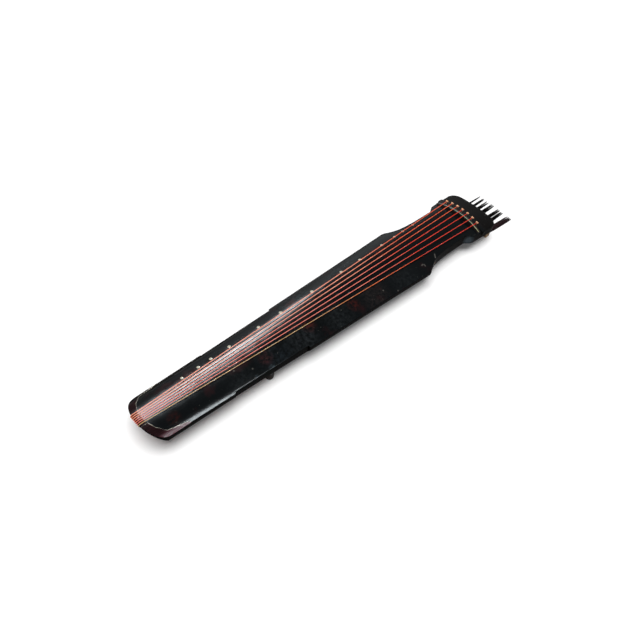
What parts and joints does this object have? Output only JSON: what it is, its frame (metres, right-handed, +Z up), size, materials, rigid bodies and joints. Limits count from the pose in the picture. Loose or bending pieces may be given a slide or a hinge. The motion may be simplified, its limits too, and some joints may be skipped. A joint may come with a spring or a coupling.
{
  "type": "plucked zither",
  "caption": "Long arched lacquered zither on two feet and two peg guards, with taut strings over a bridge, marker studs, tuning pegs below the head and thread tassels.",
  "frame": {"origin": "under the middle of the body, on the surface that the feet and the peg guards stand on", "axes": "+X along the body from the tail to the head, +Y away from the player to the side with the marker studs, +Z up"},
  "size_m": [1.3327, 0.1936, 0.0886],
  "materials": {
    "lacquer": "glossy black lacquer, worn to dark red-brown in patches",
    "hardwood": "dark polished hardwood",
    "crown_wood": "reddish brown polished hardwood",
    "bare_wood": "bare softwood",
    "pale_stone": "polished pale greenish white inlay",
    "pearl": "polished pearl",
    "red_silk": "twisted red cord",
    "gold_silk": "twisted golden cord",
    "salmon_silk": "knotted pale silk cord",
    "black_silk": "combed black thread"
  },
  "bodies": {
    "body": {"top_board": "lacquer", "bottom_board": "lacquer", "heaven_post": "bare_wood", "earth_post": "bare_wood", "dragon_pool_frame": "hardwood", "phoenix_pond_frame": "hardwood", "bridge": "hardwood", "bridge_saddle": "pale_stone", "string_hole_strip": "lacquer", "tail_nut": "crown_wood", "lower_nut": "crown_wood", "crown_far": "crown_wood", "crown_near": "crown_wood", "foot_far": "hardwood", "foot_near": "hardwood", "peg_guard_far": "hardwood", "peg_guard_near": "hardwood", "stud_01": "pearl", "stud_02": "pearl", "stud_03": "pearl", "stud_04": "pearl", "stud_05": "pearl", "stud_06": "pearl", "stud_07": "pearl", "stud_08": "pearl", "stud_09": "pearl", "stud_10": "pearl", "stud_11": "pearl", "stud_12": "pearl", "stud_13": "pearl", "string_1": "red_silk", "string_2": "red_silk", "string_3": "red_silk", "string_4": "red_silk", "string_5": "red_silk", "string_6": "red_silk", "string_7": "gold_silk", "silk_loop_1": "salmon_silk", "silk_loop_2": "salmon_silk", "silk_loop_3": "salmon_silk", "silk_loop_4": "salmon_silk", "silk_loop_5": "salmon_silk", "silk_loop_6": "salmon_silk", "silk_loop_7": "salmon_silk", "tassel_1": "black_silk", "tassel_2": "black_silk", "tassel_3": "black_silk", "tassel_4": "black_silk", "tassel_5": "black_silk", "tassel_6": "black_silk", "tassel_7": "black_silk"},
    "tuning_peg_1": {"peg_1": "hardwood"},
    "tuning_peg_2": {"peg_2": "hardwood"},
    "tuning_peg_3": {"peg_3": "hardwood"},
    "tuning_peg_4": {"peg_4": "hardwood"},
    "tuning_peg_5": {"peg_5": "hardwood"},
    "tuning_peg_6": {"peg_6": "hardwood"},
    "tuning_peg_7": {"peg_7": "hardwood"}
  },
  "joints": [
    {"name": "peg_1_turn", "type": "hinge", "parent": "body", "child": "tuning_peg_1", "pos_m": [0.53525, 0.06072, 0.028], "axis": [0, 0, 1], "continuous": true},
    {"name": "peg_2_turn", "type": "hinge", "parent": "body", "child": "tuning_peg_2", "pos_m": [0.53525, 0.04088, 0.028], "axis": [0, 0, 1], "continuous": true},
    {"name": "peg_3_turn", "type": "hinge", "parent": "body", "child": "tuning_peg_3", "pos_m": [0.53525, 0.02104, 0.028], "axis": [0, 0, 1], "continuous": true},
    {"name": "peg_4_turn", "type": "hinge", "parent": "body", "child": "tuning_peg_4", "pos_m": [0.53525, 0.0012, 0.028], "axis": [0, 0, 1], "continuous": true},
    {"name": "peg_5_turn", "type": "hinge", "parent": "body", "child": "tuning_peg_5", "pos_m": [0.53525, -0.01864, 0.028], "axis": [0, 0, 1], "continuous": true},
    {"name": "peg_6_turn", "type": "hinge", "parent": "body", "child": "tuning_peg_6", "pos_m": [0.53525, -0.03848, 0.028], "axis": [0, 0, 1], "continuous": true},
    {"name": "peg_7_turn", "type": "hinge", "parent": "body", "child": "tuning_peg_7", "pos_m": [0.53525, -0.05832, 0.028], "axis": [0, 0, 1], "continuous": true}
  ]
}
